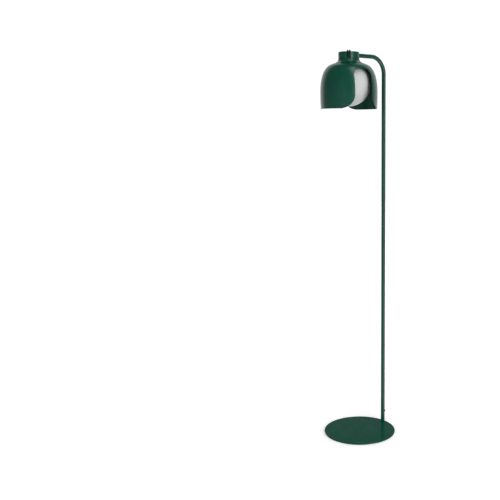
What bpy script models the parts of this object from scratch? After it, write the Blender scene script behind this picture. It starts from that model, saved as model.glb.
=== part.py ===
"""Floor lamp: a round base plate, a thin pole standing at its edge, an arm bent over the plate,
and a spun metal shade with two cut windows around an opal globe. The shade turns on the arm's hub.

Metres, +Z up. The origin is the centre of the base on the floor, the pole stands at +X and the
arm points to -X. Each object is one separate piece of the lamp.
"""

import math

import bmesh
import bpy
from mathutils import Vector

# Base, pole and arm
BASE_DIAMETER = 0.283
BASE_THICKNESS = 0.0052
BASE_EDGE_ROUND = 0.0008
PAD_THICKNESS = 0.0010
PAD_INSET = 0.0030
POLE_INSET = 0.0125  # from the edge of the base to the pole's axis
TUBE_DIAMETER = 0.016
TUBE_WALL = 0.0012
POLE_JOINT_HEIGHT = 0.775
ARM_HEIGHT = 1.4795  # the arm's centreline above the floor
ARM_REACH = 0.180  # from the pole's axis to the shade's axis
BEND_RADIUS = 0.064
INSERT_LENGTH = 0.030
JOINER_FLANGE = 0.0010
BOLT_DIAMETER = 0.008
BOLT_HEAD_DIAMETER = 0.0150
BOLT_HEAD_HEIGHT = 0.0022
BOLT_GRIP = 0.024  # how far the bolt reaches into the pole

# Head: cap, hub, stem and knob
WINDOW_TURN = math.radians(-8.6)  # of the windows, away from square to the arm
CAP_SLOT_TURN = math.radians(-42)  # of the slots in the cap and the knob, likewise
CAP_DIAMETER = 0.0788
CAP_HEIGHT = 0.0263
CAP_WALL = 0.0012
CAP_EDGE_ROUND = 0.0020
CAP_SLOT_WIDTH = 0.0140
CAP_SLOT_HEIGHT = 0.0222
CAP_SLOT_ROUND = 0.0020
ARM_TO_CAP = 0.0008  # from the top of the arm to the underside of the cap
HUB_DIAMETER = 0.054
HUB_TOP_WALL = 0.0015
HUB_EDGE = 0.0010
BUSH_DIAMETER = 0.0458
BUSH_WALL = 0.0020
NIPPLE_DIAMETER = 0.010
NIPPLE_BORE = 0.0064
NIPPLE_LENGTH = 0.029
NIPPLE_STAND_OUT = 0.0020  # past its nut
STEM_DIAMETER = 0.008
STEM_STAND_OUT = 0.0010  # below its lower nut
NUT_ACROSS_FLATS = 0.013
NUT_HEIGHT = 0.0030
KNOB_DIAMETER = 0.0140
KNOB_HEIGHT = 0.0065
KNOB_EDGE = 0.0008
KNOB_WASHER_STAND_OUT = 0.0012  # beyond the knob
KNOB_SLOT = 0.0032
KNOB_SLOT_DEPTH = 0.0034
WASHER_THICKNESS = 0.0012
WASHER_WIDTH = 0.0068  # of the rings that the shade turns between
RING_NUT_HEIGHT = 0.0026

# Shade and its windows
SHADE_DIAMETER = 0.2148
SHADE_HEIGHT = 0.1814
SHADE_WALL = 0.0012
SHADE_NECK_DIAMETER = 0.0792
WINDOW_WIDTH = 0.0744
WINDOW_HEIGHT = 0.1450
WINDOW_TOP_ROUND = 0.0300
PETAL_CORNER_ROUND = 0.0520
PETAL_CORNER_DROP = 0.0015  # how far the corner's circle dips below the rim

# Globe, lampholder and bulb
GLOBE_CLEARANCE = 0.0230
GLOBE_WALL = 0.0025
SKIRT_DIAMETER = 0.0394
SKIRT_LENGTH = 0.0530
SKIRT_WALL = 0.0037
HOLDER_FLANGE = 0.0014
HOLDER_CAP_DIAMETER = 0.0410
HOLDER_CAP_WALL = 0.0018
HOLDER_CAP_EDGE = 0.0020
TERMINAL_BLOCK_HEIGHT = 0.0045  # above the flange
SOCKET_ROOF_DROP = 0.0100  # below the flange
SHELL_DROP = 0.0050  # of the screw shell, below the roof
CONTACT_DROP = 0.0010
CONTACT_THICKNESS = 0.0012
CONTACT_WIDTH = 0.0060
GLOBE_RING_WIDTH = 0.0075
GLOBE_RING_HEIGHT = 0.0040
BULB_DIAMETER = 0.060
BULB_LENGTH = 0.108
BULB_CAP_DIAMETER = 0.0264
BULB_CAP_LENGTH = 0.0265
BULB_THREAD_TURNS = 5
BULB_THREAD_DEPTH = 0.0010
BULB_TIP_RADIUS = 0.0045
BULB_TIP_HEIGHT = 0.0016
INSULATOR_RADIUS = 0.0105
INSULATOR_TOP_RADIUS = 0.0060
INSULATOR_HEIGHT = 0.0022
CABLE_DIAMETER = 0.0052
CORE_DIAMETER = 0.0018
CORE_BOW = Vector((0.004, 0.003, 0))  # out of the straight line to its screw
TERMINAL_SCREW_RADIUS = 0.0026
TERMINAL_SCREW_HEIGHT = 0.0020
CABLE_END = 0.0060  # of the sheath, above the terminals
GROMMET_HEIGHT = 0.052  # above the floor
GROMMET_WALL = 0.0012
GROMMET_LIP = 0.0016  # beyond its wall
GROMMET_LIP_EDGE = 0.0008
GROMMET_LIP_HEIGHT = 0.0014

# Clearances
GAP = 0.0003  # between pieces that touch
RIM_GAP = 0.0010  # from the cap's lower rim up to the hub's
PASS = 0.0005  # around what passes freely
GLASS_SEAT = 0.0014  # between the globe and its ring, where a soft gasket sits

# Worked out from the sizes above
TUBE_RADIUS = TUBE_DIAMETER / 2
TUBE_BORE = TUBE_RADIUS - TUBE_WALL
INSERT_RADIUS = TUBE_BORE - GAP
BASE_RADIUS = BASE_DIAMETER / 2
BASE_BOTTOM = PAD_THICKNESS + GAP
BASE_TOP = BASE_BOTTOM + BASE_THICKNESS
POLE_X = BASE_RADIUS - POLE_INSET
POLE_BOTTOM = BASE_TOP + GAP
SHADE_X = POLE_X - ARM_REACH
CAP_TOP = ARM_HEIGHT + TUBE_RADIUS + ARM_TO_CAP + CAP_WALL
CAP_BOTTOM = CAP_TOP - CAP_HEIGHT
CAP_RADIUS = CAP_DIAMETER / 2
HUB_RADIUS = HUB_DIAMETER / 2
HUB_TOP = CAP_TOP - CAP_WALL - GAP
HUB_BOTTOM = CAP_BOTTOM + RIM_GAP
HUB_CEILING = HUB_TOP - HUB_TOP_WALL
BUSH_RADIUS = BUSH_DIAMETER / 2
TURNING_BORE = BUSH_RADIUS + GAP
NIPPLE_RADIUS = NIPPLE_DIAMETER / 2
STEM_RADIUS = STEM_DIAMETER / 2
SHADE_TOP = HUB_BOTTOM - GAP - WASHER_THICKNESS - GAP
SHADE_RIM = SHADE_TOP - SHADE_HEIGHT
SHADE_RADIUS = SHADE_DIAMETER / 2
NECK_RADIUS = SHADE_NECK_DIAMETER / 2
WAVE_TOP = SHADE_TOP - SHADE_WALL - GAP
RING_NUT_TOP = WAVE_TOP - WASHER_THICKNESS - GAP
RING_NUT_BOTTOM = RING_NUT_TOP - RING_NUT_HEIGHT
BUSH_TOP = ARM_HEIGHT - NUT_ACROSS_FLATS / 2 - PASS
FLANGE_TOP = RING_NUT_BOTTOM - GAP
FLANGE_BOTTOM = FLANGE_TOP - HOLDER_FLANGE
SKIRT_RADIUS = SKIRT_DIAMETER / 2
SKIRT_BOTTOM = FLANGE_BOTTOM - SKIRT_LENGTH
SOCKET_RADIUS = SKIRT_RADIUS - SKIRT_WALL
HOLDER_CAP_RADIUS = HOLDER_CAP_DIAMETER / 2
GLOBE_MOUTH = SKIRT_RADIUS + PASS
GLOBE_RADIUS = SHADE_RADIUS - SHADE_WALL - GLOBE_CLEARANCE
GLOBE_Z = FLANGE_BOTTOM - GAP - math.sqrt(GLOBE_RADIUS**2 - GLOBE_MOUTH**2)
CABLE_RADIUS = CABLE_DIAMETER / 2

# Facets round each kind of piece
FACETS_LARGE = 48
FACETS_GLOBE = 32
GLOBE_STEPS = 12
FACETS_TUBE = 20
FACETS_SMALL = 12

for old in list(bpy.data.objects):
    bpy.data.objects.remove(old)


# ---------------------------------------------------------------- materials


def make_material(name, colour, roughness, metallic=0.0):
    """A Principled material of one colour."""
    material = bpy.data.materials.new(name)
    material.use_nodes = True
    shader = material.node_tree.nodes["Principled BSDF"]
    shader.inputs["Base Color"].default_value = (*colour, 1)
    shader.inputs["Roughness"].default_value = roughness
    shader.inputs["Metallic"].default_value = metallic
    return material


GREEN_PAINT = make_material("green_paint", (0.012, 0.063, 0.045), 0.35)
OPAL_GLASS = make_material("opal_glass", (0.80, 0.80, 0.78), 0.30)
ZINC = make_material("zinc_plate", (0.55, 0.56, 0.58), 0.35, 1.0)
BRASS = make_material("brass", (0.60, 0.43, 0.17), 0.30, 1.0)
WHITE_PLASTIC = make_material("white_plastic", (0.72, 0.72, 0.70), 0.45)
BLACK_RUBBER = make_material("black_rubber", (0.02, 0.02, 0.02), 0.70)
FIBRE = make_material("fibre", (0.20, 0.10, 0.05), 0.80)
GLASS_INSULATOR = make_material("glass_insulator", (0.02, 0.02, 0.03), 0.20)


# ------------------------------------------------------------ making shapes


def keep(name, shape, material, at=(0, 0, 0), turn=None):
    """Turns a finished bmesh into a named object, with smooth round sides and sharp corners."""
    bmesh.ops.recalc_face_normals(shape, faces=shape.faces)
    mesh = bpy.data.meshes.new(name)
    shape.to_mesh(mesh)
    shape.free()
    mesh.materials.append(material)
    mesh.shade_smooth()
    mesh.set_sharp_from_angle(angle=math.radians(35))
    made = bpy.data.objects.new(name, mesh)
    made.location = at
    if turn:
        made.rotation_euler = turn
    bpy.context.collection.objects.link(made)
    return made


def turned(outline, facets, on_axis=False):
    """A bmesh of an outline of (radius, height) points, turned about Z. It is a closed line, or one
    that starts and ends on the axis."""
    shape = bmesh.new()
    corners = [shape.verts.new((radius, 0, height)) for radius, height in outline]
    edges = [shape.edges.new(pair) for pair in zip(corners, corners[1:])]
    if not on_axis:
        edges.append(shape.edges.new((corners[-1], corners[0])))
    bmesh.ops.spin(
        shape, geom=corners + edges, axis=(0, 0, 1), cent=(0, 0, 0), steps=facets, angle=math.tau
    )
    bmesh.ops.remove_doubles(shape, verts=shape.verts, dist=1e-6)
    return shape


def ring_outline(inner, outer, low, high):
    """The outline of a plain ring or tube."""
    return [(inner, low), (outer, low), (outer, high), (inner, high)]


def rod_outline(radius, low, high):
    """The outline of a plain rod, from the axis out and back to the axis."""
    return [(0, low), (radius, low), (radius, high), (0, high)]


def ring(name, inner, outer, low, high, material, facets=FACETS_SMALL, at_x=SHADE_X):
    """A plain ring standing on the axis at at_x."""
    return keep(name, turned(ring_outline(inner, outer, low, high), facets), material, (at_x, 0, 0))


def arc(centre, radius, start, end, steps):
    """Points on a circle, from the angle start to the angle end, in degrees."""
    points = []
    for step in range(steps + 1):
        angle = math.radians(start + (end - start) * step / steps)
        points.append((centre[0] + radius * math.cos(angle), centre[1] + radius * math.sin(angle)))
    return points


def smooth_line(points, steps):
    """A Catmull-Rom curve through the points, with steps stretches between each pair."""
    ends = [Vector(p) for p in points]
    ends = [2 * ends[0] - ends[1], *ends, 2 * ends[-1] - ends[-2]]
    line = []
    for before, start, end, after in zip(ends, ends[1:], ends[2:], ends[3:]):
        for step in range(steps):
            t = step / steps
            pull = (end - before) * t + (2 * before - 5 * start + 4 * end - after) * t**2
            line.append(start + (pull + (3 * start - before - 3 * end + after) * t**3) / 2)
    line.append(ends[-2])
    return line


def prism(outline, depth):
    """A bmesh of a flat outline of (x, z) points, pushed along Y to both sides of the XZ plane."""
    shape = bmesh.new()
    face = shape.faces.new([shape.verts.new((x, -depth / 2, z)) for x, z in outline])
    pushed = bmesh.ops.extrude_face_region(shape, geom=[face])["geom"]
    far = [item for item in pushed if isinstance(item, bmesh.types.BMVert)]
    bmesh.ops.translate(shape, verts=far, vec=(0, depth, 0))
    return shape


def cut(target, shape, at=(0, 0, 0), turn=None):
    """Cuts a shape out of the target. The cutter stays as a hidden helper."""
    cutter = keep(f"{target.name}_cutter", shape, target.data.materials[0], at, turn)
    cutter.hide_render = True
    cutter.display_type = "WIRE"
    boolean = target.modifiers.new("cut", "BOOLEAN")
    boolean.operation = "DIFFERENCE"
    boolean.object = cutter


def nut_shape(bore, height):
    """A bmesh of a hexagonal nut with a round bore, from z = 0 up, with two flats facing along X."""
    shape = bmesh.new()
    across_corners = NUT_ACROSS_FLATS / math.sqrt(3)
    bmesh.ops.create_circle(shape, segments=6, radius=across_corners)
    bmesh.ops.create_circle(shape, segments=FACETS_SMALL, radius=bore)
    made = bmesh.ops.bridge_loops(shape, edges=shape.edges[:])["faces"]
    pushed = bmesh.ops.extrude_face_region(shape, geom=made)["geom"]
    far = [item for item in pushed if isinstance(item, bmesh.types.BMVert)]
    bmesh.ops.translate(shape, verts=far, vec=(0, 0, height))
    return shape


def wire(name, points, radius, material, resolution=2):
    """A round lead along a smooth curve through the points, with flat ends."""
    data = bpy.data.curves.new(name, "CURVE")
    data.dimensions = "3D"
    data.bevel_depth = radius
    data.bevel_resolution = resolution
    data.use_fill_caps = True
    spline = data.splines.new("POLY")
    spline.points.add(len(points) - 1)
    for point, place in zip(spline.points, points):
        point.co = (*place, 1)
    data.materials.append(material)
    made = bpy.data.objects.new(name, data)
    bpy.context.collection.objects.link(made)
    return made


# ------------------------------------------------------------------ base


def make_base():
    """Steel plate on a foam pad. The pole's bolt comes up through a counterbored hole."""
    pad_radius = BASE_RADIUS - PAD_INSET
    pad = turned(rod_outline(pad_radius, 0, PAD_THICKNESS), FACETS_LARGE, True)
    keep("base_pad", pad, BLACK_RUBBER)

    outline = [(0, BASE_BOTTOM), (BASE_RADIUS - BASE_EDGE_ROUND, BASE_BOTTOM)]
    outline += [(BASE_RADIUS, BASE_BOTTOM + BASE_EDGE_ROUND)]
    edge = (BASE_RADIUS - BASE_EDGE_ROUND, BASE_TOP - BASE_EDGE_ROUND)
    outline += arc(edge, BASE_EDGE_ROUND, 0, 90, 3)
    outline += [(0, BASE_TOP)]
    plate = keep("base_plate", turned(outline, FACETS_LARGE, True), GREEN_PAINT)

    below = BASE_BOTTOM - BASE_THICKNESS
    above = BASE_TOP + BASE_THICKNESS
    hole = BOLT_DIAMETER / 2 + GAP
    recess = BOLT_HEAD_DIAMETER / 2 + GAP
    shelf = BASE_BOTTOM + BOLT_HEAD_HEIGHT + GAP
    stepped = [(0, below), (recess, below), (recess, shelf), (hole, shelf), (hole, above), (0, above)]
    cut(plate, turned(stepped, FACETS_TUBE, True), (POLE_X, 0, 0))


def make_pole_bolt():
    """Flat-headed bolt, flush with the underside of the plate."""
    head = BOLT_HEAD_DIAMETER / 2
    shank = BOLT_DIAMETER / 2
    head_top = BASE_BOTTOM + BOLT_HEAD_HEIGHT
    tip = BASE_TOP + BOLT_GRIP
    outline = [(0, BASE_BOTTOM), (head, BASE_BOTTOM), (head, head_top), (shank, head_top)]
    outline += [(shank, tip), (0, tip)]
    keep("pole_bolt", turned(outline, FACETS_SMALL, True), ZINC, (POLE_X, 0, 0))


# -------------------------------------------------------------- pole and arm


def make_lower_pole():
    """Straight tube with a hole for the cable's grommet at the back, and its threaded foot insert."""
    top = POLE_JOINT_HEIGHT - JOINER_FLANGE / 2 - GAP
    outline = ring_outline(TUBE_BORE, TUBE_RADIUS, POLE_BOTTOM, top)
    pole = keep("lower_pole", turned(outline, FACETS_TUBE), GREEN_PAINT, (POLE_X, 0, 0))
    hole = turned(rod_outline(CABLE_RADIUS + GROMMET_WALL + GAP, 0, TUBE_DIAMETER), FACETS_SMALL, True)
    cut(pole, hole, (POLE_X, 0, GROMMET_HEIGHT), (0, math.radians(90), 0))

    insert_top = POLE_BOTTOM + INSERT_LENGTH
    bore = BOLT_DIAMETER / 2 + GAP
    ring("foot_insert", bore, INSERT_RADIUS, POLE_BOTTOM, insert_top, ZINC, at_x=POLE_X)


def make_grommet():
    """Rubber ring that lines the cable's hole."""
    bore = CABLE_RADIUS + GAP / 2
    body = CABLE_RADIUS + GROMMET_WALL
    lip = body + GROMMET_LIP
    face = TUBE_RADIUS + GAP
    outline = [(bore, TUBE_BORE + GAP), (body, TUBE_BORE + GAP), (body, face), (lip, face)]
    outer_face = face + GROMMET_LIP_HEIGHT
    outline += [(lip, face + GROMMET_LIP_EDGE), (body, outer_face), (bore, outer_face)]
    shape = turned(outline, FACETS_SMALL)
    keep("cable_grommet", shape, BLACK_RUBBER, (POLE_X, 0, GROMMET_HEIGHT), (0, math.radians(90), 0))


def make_joiner():
    """Threaded sleeve that screws the two pole tubes together, with a thin flange between them."""
    bore = CABLE_RADIUS + PASS * 2
    flange = TUBE_RADIUS - GAP
    low = POLE_JOINT_HEIGHT - INSERT_LENGTH
    high = POLE_JOINT_HEIGHT + INSERT_LENGTH
    flange_low = POLE_JOINT_HEIGHT - JOINER_FLANGE / 2
    flange_high = POLE_JOINT_HEIGHT + JOINER_FLANGE / 2
    outline = [(bore, low), (INSERT_RADIUS, low), (INSERT_RADIUS, flange_low), (flange, flange_low)]
    outline += [(flange, flange_high), (INSERT_RADIUS, flange_high), (INSERT_RADIUS, high)]
    outline += [(bore, high)]
    keep("pole_joiner", turned(outline, FACETS_TUBE), ZINC, (POLE_X, 0, 0))


def tube_loop(shape, x, z, turn, radius):
    """A round loop of corners about (x, z), square to a path that has turned by the angle turn."""
    loop = []
    for facet in range(FACETS_TUBE):
        angle = math.tau * facet / FACETS_TUBE
        out = radius * math.cos(angle)
        side = radius * math.sin(angle)
        loop.append(shape.verts.new((x + out * math.cos(turn), side, z + out * math.sin(turn))))
    return loop


def skin(shape, loops):
    """Faces from each loop of corners to the next, and from the last back to the first."""
    for near, far in zip(loops, loops[1:] + loops[:1]):
        for index, corner in enumerate(near):
            shape.faces.new((near[index - 1], corner, far[index], far[index - 1]))


def make_arm():
    """One tube for the upper pole and the arm, with the bend between them."""
    bottom = POLE_JOINT_HEIGHT + JOINER_FLANGE / 2 + GAP
    bend = (POLE_X - BEND_RADIUS, ARM_HEIGHT - BEND_RADIUS)
    bend_steps = 12
    path = [(POLE_X, bottom, 0)]
    for step, (x, z) in enumerate(arc(bend, BEND_RADIUS, 0, 90, bend_steps)):
        path.append((x, z, math.radians(90) * step / bend_steps))
    path.append((SHADE_X + HUB_RADIUS + GAP, ARM_HEIGHT, math.radians(90)))

    shape = bmesh.new()
    outer = [tube_loop(shape, *station, TUBE_RADIUS) for station in path]
    inner = [tube_loop(shape, *station, TUBE_BORE) for station in reversed(path)]
    skin(shape, outer + inner)
    keep("upper_pole_arm", shape, GREEN_PAINT)


def along_arm(name, shape, start, material):
    """Lays a shape turned about Z along the arm, its foot at the distance start from the shade's axis."""
    keep(name, shape, material, (SHADE_X + start, 0, ARM_HEIGHT), (0, math.radians(90), 0))


def make_arm_fixing():
    """Insert in the arm's end, hollow nipple through the hub's wall, and the nut inside the hub."""
    insert = ring_outline(NIPPLE_RADIUS + GAP, INSERT_RADIUS, 0, INSERT_LENGTH * 2 / 3)
    along_arm("arm_insert", turned(insert, FACETS_SMALL), HUB_RADIUS + GAP, ZINC)

    nut_face = math.sqrt(TURNING_BORE**2 - (NUT_ACROSS_FLATS / math.sqrt(3)) ** 2) - PASS
    nut_start = nut_face - NUT_HEIGHT
    nipple = ring_outline(NIPPLE_BORE / 2, NIPPLE_RADIUS, 0, NIPPLE_LENGTH)
    along_arm("arm_nipple", turned(nipple, FACETS_SMALL), nut_start - NIPPLE_STAND_OUT, ZINC)
    along_arm("arm_nut", nut_shape(NIPPLE_RADIUS + GAP, NUT_HEIGHT), nut_start, ZINC)


# ------------------------------------------------------------------ head


def across(radius):
    """A rod through a wall at +X of the shade's axis, for cutting the arm's holes."""
    return turned(rod_outline(radius, 0, CAP_DIAMETER), FACETS_TUBE, True)


def make_cap():
    """Drawn cap over the hub, with a hole for the arm and two slots at its sides."""
    inner = CAP_RADIUS - CAP_WALL
    ceiling = CAP_TOP - CAP_WALL
    stem_hole = STEM_RADIUS + GAP
    corner = (CAP_RADIUS - CAP_EDGE_ROUND, CAP_TOP - CAP_EDGE_ROUND)
    outline = [(stem_hole, ceiling), (inner, ceiling), (inner, CAP_BOTTOM), (CAP_RADIUS, CAP_BOTTOM)]
    outline += arc(corner, CAP_EDGE_ROUND, 0, 90, 4)
    outline += [(stem_hole, CAP_TOP)]
    cap = keep("head_cap", turned(outline, FACETS_LARGE), GREEN_PAINT, (SHADE_X, 0, 0))
    at_arm = (SHADE_X, 0, ARM_HEIGHT)
    cut(cap, across(TUBE_RADIUS + GAP), at_arm, (0, math.radians(90), 0))

    low = (CAP_TOP + CAP_BOTTOM - CAP_SLOT_HEIGHT) / 2
    slot = rounded_outline(CAP_SLOT_WIDTH, low, low + CAP_SLOT_HEIGHT, CAP_SLOT_ROUND)
    cut(cap, prism(slot, CAP_DIAMETER * 1.2), (SHADE_X, 0, 0), (0, 0, CAP_SLOT_TURN))


def rounded_outline(width, low, high, radius):
    """A rectangle of (x, z) points with round corners, centred on x = 0."""
    side = width / 2 - radius
    points = arc((side, low + radius), radius, -90, 0, 4)
    points += arc((side, high - radius), radius, 0, 90, 4)
    points += arc((-side, high - radius), radius, 90, 180, 4)
    points += arc((-side, low + radius), radius, 180, 270, 4)
    return points


def make_hub():
    """Turned cup inside the cap. The arm's nipple comes through its wall and the bush screws in below."""
    stem_hole = STEM_RADIUS + GAP
    outline = [(stem_hole, HUB_CEILING), (TURNING_BORE, HUB_CEILING), (TURNING_BORE, HUB_BOTTOM)]
    outline += [(HUB_RADIUS, HUB_BOTTOM), (HUB_RADIUS, HUB_TOP - HUB_EDGE)]
    outline += [(HUB_RADIUS - HUB_EDGE, HUB_TOP)]
    outline += [(stem_hole, HUB_TOP)]
    hub = keep("hub", turned(outline, FACETS_TUBE * 2), GREEN_PAINT, (SHADE_X, 0, 0))
    cut(hub, across(NIPPLE_RADIUS + GAP), (SHADE_X, 0, ARM_HEIGHT), (0, math.radians(90), 0))


def make_stem():
    """Threaded stem on the axis, with the nuts that hold the hub and the lampholder's cap."""
    knob_seat = CAP_TOP + GAP + WASHER_THICKNESS + GAP
    top = knob_seat + KNOB_HEIGHT - KNOB_SLOT_DEPTH - PASS * 2
    cap_floor = BUSH_TOP - HOLDER_CAP_WALL
    bottom = cap_floor - GAP - NUT_HEIGHT - STEM_STAND_OUT
    stem = turned(rod_outline(STEM_RADIUS, bottom, top), FACETS_SMALL, True)
    keep("stem", stem, ZINC, (SHADE_X, 0, 0))
    for name, ceiling in (("stem_nut", HUB_CEILING), ("holder_nut", cap_floor)):
        shape = nut_shape(STEM_RADIUS + GAP, NUT_HEIGHT)
        keep(name, shape, ZINC, (SHADE_X, 0, ceiling - GAP - NUT_HEIGHT))


def make_knob():
    """Round slotted knob that clamps the cap down on the hub, and the washer under it."""
    washer_low = CAP_TOP + GAP
    washer_high = washer_low + WASHER_THICKNESS
    washer_radius = KNOB_DIAMETER / 2 + KNOB_WASHER_STAND_OUT
    ring("knob_washer", STEM_RADIUS + GAP, washer_radius, washer_low, washer_high, ZINC, FACETS_TUBE)

    seat = washer_high + GAP
    top = seat + KNOB_HEIGHT
    radius = KNOB_DIAMETER / 2
    edge = KNOB_EDGE
    thread = STEM_RADIUS + GAP
    blind = top - KNOB_SLOT_DEPTH - PASS
    outline = [(0, blind), (thread, blind), (thread, seat), (radius - edge, seat), (radius, seat + edge)]
    outline += [(radius, top - edge), (radius - edge, top), (0, top)]
    knob = keep("clamp_knob", turned(outline, FACETS_TUBE, True), GREEN_PAINT, (SHADE_X, 0, 0))
    slot = rounded_outline(KNOB_SLOT, top - KNOB_SLOT_DEPTH, top + KNOB_SLOT_DEPTH, KNOB_SLOT / 8)
    cut(knob, prism(slot, KNOB_DIAMETER * 2), (SHADE_X, 0, 0), (0, 0, CAP_SLOT_TURN))


def make_swivel():
    """Bush in the hub that the shade turns on, between a fibre washer and a wave washer with its nut."""
    bore = TURNING_BORE + GAP / 2
    outer = TURNING_BORE + WASHER_WIDTH
    facets = FACETS_TUBE
    ring("neck_bush", BUSH_RADIUS - BUSH_WALL, BUSH_RADIUS, RING_NUT_BOTTOM, BUSH_TOP, ZINC, facets * 2)
    washer_low = SHADE_TOP + GAP
    ring("friction_washer", bore, outer, washer_low, washer_low + WASHER_THICKNESS, FIBRE, facets)
    ring("wave_washer", bore, outer, WAVE_TOP - WASHER_THICKNESS, WAVE_TOP, ZINC, facets)
    ring("swivel_ring_nut", bore, outer, RING_NUT_BOTTOM, RING_NUT_TOP, ZINC, facets)


# ------------------------------------------------------------------ shade

SIDE_STEPS = 1

# The side of the shade as shares of the way from neck to belly, and of the height above the rim
SHADE_SIDE = (
    (0.973, 0.000),
    (0.996, 0.160),
    (1.000, 0.330),
    (0.985, 0.470),
    (0.935, 0.600),
    (0.845, 0.715),
    (0.720, 0.802),
    (0.560, 0.867),
    (0.365, 0.905),
    (0.180, 0.929),
    (0.060, 0.957),
    (0.012, 0.985),
)


def shade_side():
    """Points of the shade's outer side, from the rim up to just under its top."""
    span = SHADE_RADIUS - NECK_RADIUS
    points = [(NECK_RADIUS + span * out, SHADE_RIM + SHADE_HEIGHT * up) for out, up in SHADE_SIDE]
    return [Vector(point) for point in smooth_line(points, SIDE_STEPS)]


def inside_of(side, wall):
    """The same line moved inwards by the wall."""
    moved = []
    for index, point in enumerate(side):
        along = side[min(index + 1, len(side) - 1)] - side[max(index - 1, 0)]
        inward = Vector((-along.y, along.x)).normalized()
        if index == 0:
            inward = Vector((-1, 0))
        moved.append(point + inward * wall)
    return moved


def window_outline():
    """Both windows at once: round at the top, straight at the sides, flaring into the petals' corners."""
    half = WINDOW_WIDTH / 2
    top = SHADE_RIM + WINDOW_HEIGHT
    below = SHADE_RIM - WINDOW_TOP_ROUND
    flare = (half + PETAL_CORNER_ROUND, SHADE_RIM + PETAL_CORNER_ROUND - PETAL_CORNER_DROP)
    flare_end = 270 - math.degrees(math.acos(1 - PETAL_CORNER_DROP / PETAL_CORNER_ROUND))
    corner = (half - WINDOW_TOP_ROUND, top - WINDOW_TOP_ROUND)
    right = [(half + PETAL_CORNER_ROUND, below)]
    right += arc(flare, PETAL_CORNER_ROUND, flare_end, 180, 9)
    right += arc(corner, WINDOW_TOP_ROUND, 0, 90, 7)
    return right + [(-x, z) for x, z in reversed(right)]


def make_shade():
    """Spun steel shade with an inward flange at its neck, cut through for the two windows."""
    outer = shade_side()
    inner = inside_of(outer, SHADE_WALL)
    neck_edge = outer[-1].x
    floor = SHADE_TOP - SHADE_WALL
    outline = [tuple(point) for point in outer]
    outline += arc((neck_edge - SHADE_WALL, SHADE_TOP - SHADE_WALL), SHADE_WALL, 15, 90, 2)
    outline += [(TURNING_BORE, SHADE_TOP), (TURNING_BORE, floor), (inner[-1].x - SHADE_WALL, floor)]
    outline += [tuple(point) for point in reversed(inner)]
    shade = keep("shade", turned(outline, FACETS_LARGE), GREEN_PAINT, (SHADE_X, 0, 0))
    cut(shade, prism(window_outline(), SHADE_DIAMETER * 1.2), (SHADE_X, 0, 0), (0, 0, WINDOW_TURN))


# -------------------------------------------------------- globe and lampholder


def make_globe():
    """Opal glass globe, open at the top where the lampholder's skirt passes through."""
    inner = GLOBE_RADIUS - GLOBE_WALL
    outer_start = math.degrees(math.acos(GLOBE_MOUTH / GLOBE_RADIUS))
    inner_start = math.degrees(math.acos(GLOBE_MOUTH / inner))
    outer_side = arc((0, GLOBE_Z), GLOBE_RADIUS, outer_start, -90, GLOBE_STEPS)
    inner_side = arc((0, GLOBE_Z), inner, -90, inner_start, GLOBE_STEPS)
    outer_side[-1] = (0, GLOBE_Z - GLOBE_RADIUS)
    inner_side[0] = (0, GLOBE_Z - inner)
    shape = bmesh.new()
    outside = [shape.verts.new((radius, 0, height)) for radius, height in outer_side]
    inside = [shape.verts.new((radius, 0, height)) for radius, height in inner_side]
    edges = [shape.edges.new(pair) for pair in zip(outside, outside[1:])]
    edges += [shape.edges.new(pair) for pair in zip(inside, inside[1:])]
    edges.append(shape.edges.new((inside[-1], outside[0])))
    bmesh.ops.spin(
        shape,
        geom=outside + inside + edges,
        axis=(0, 0, 1),
        cent=(0, 0, 0),
        steps=FACETS_GLOBE,
        angle=math.tau,
    )
    bmesh.ops.remove_doubles(shape, verts=shape.verts, dist=1e-6)
    keep("globe", shape, OPAL_GLASS, (SHADE_X, 0, 0))

    ring_outer = SKIRT_RADIUS + GAP + GLOBE_RING_WIDTH
    ring_top = GLOBE_Z + math.sqrt(inner**2 - ring_outer**2) - GLASS_SEAT
    bore = SKIRT_RADIUS + GAP
    ring_low = ring_top - GLOBE_RING_HEIGHT
    ring("globe_ring", bore, ring_outer, ring_low, ring_top, WHITE_PLASTIC, FACETS_TUBE)


def make_holder_cap():
    """Domed plastic cap of the lampholder, on the stem, with an inlet for the cable."""
    inner = HOLDER_CAP_RADIUS - HOLDER_CAP_WALL
    floor = BUSH_TOP - HOLDER_CAP_WALL
    edge = HOLDER_CAP_EDGE
    stem_hole = STEM_RADIUS + GAP
    bottom = FLANGE_TOP + GAP
    outline = [(stem_hole, floor), (inner, floor), (inner, bottom), (HOLDER_CAP_RADIUS, bottom)]
    outline += [(HOLDER_CAP_RADIUS, BUSH_TOP - edge), (HOLDER_CAP_RADIUS - edge, BUSH_TOP)]
    outline += [(stem_hole, BUSH_TOP)]
    cap = keep("lampholder_cap", turned(outline, FACETS_TUBE), WHITE_PLASTIC, (SHADE_X, 0, 0))
    low, high = floor - HOLDER_CAP_WALL, BUSH_TOP + HOLDER_CAP_WALL
    inlet = turned(rod_outline(CABLE_RADIUS + PASS, low, high), FACETS_SMALL, True)
    cut(cap, inlet, (SHADE_X + inlet_distance(), 0, 0))


def inlet_distance():
    """How far from the axis the cable goes down into the lampholder."""
    nut = NUT_ACROSS_FLATS / math.sqrt(3)
    return nut + CABLE_RADIUS + PASS * 2


def block_top():
    """The top of the block that carries the terminals, inside the lampholder's cap."""
    return FLANGE_TOP + TERMINAL_BLOCK_HEIGHT


def socket_roof():
    """The top of the hollow that takes the bulb's cap."""
    return FLANGE_BOTTOM - SOCKET_ROOF_DROP


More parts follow.
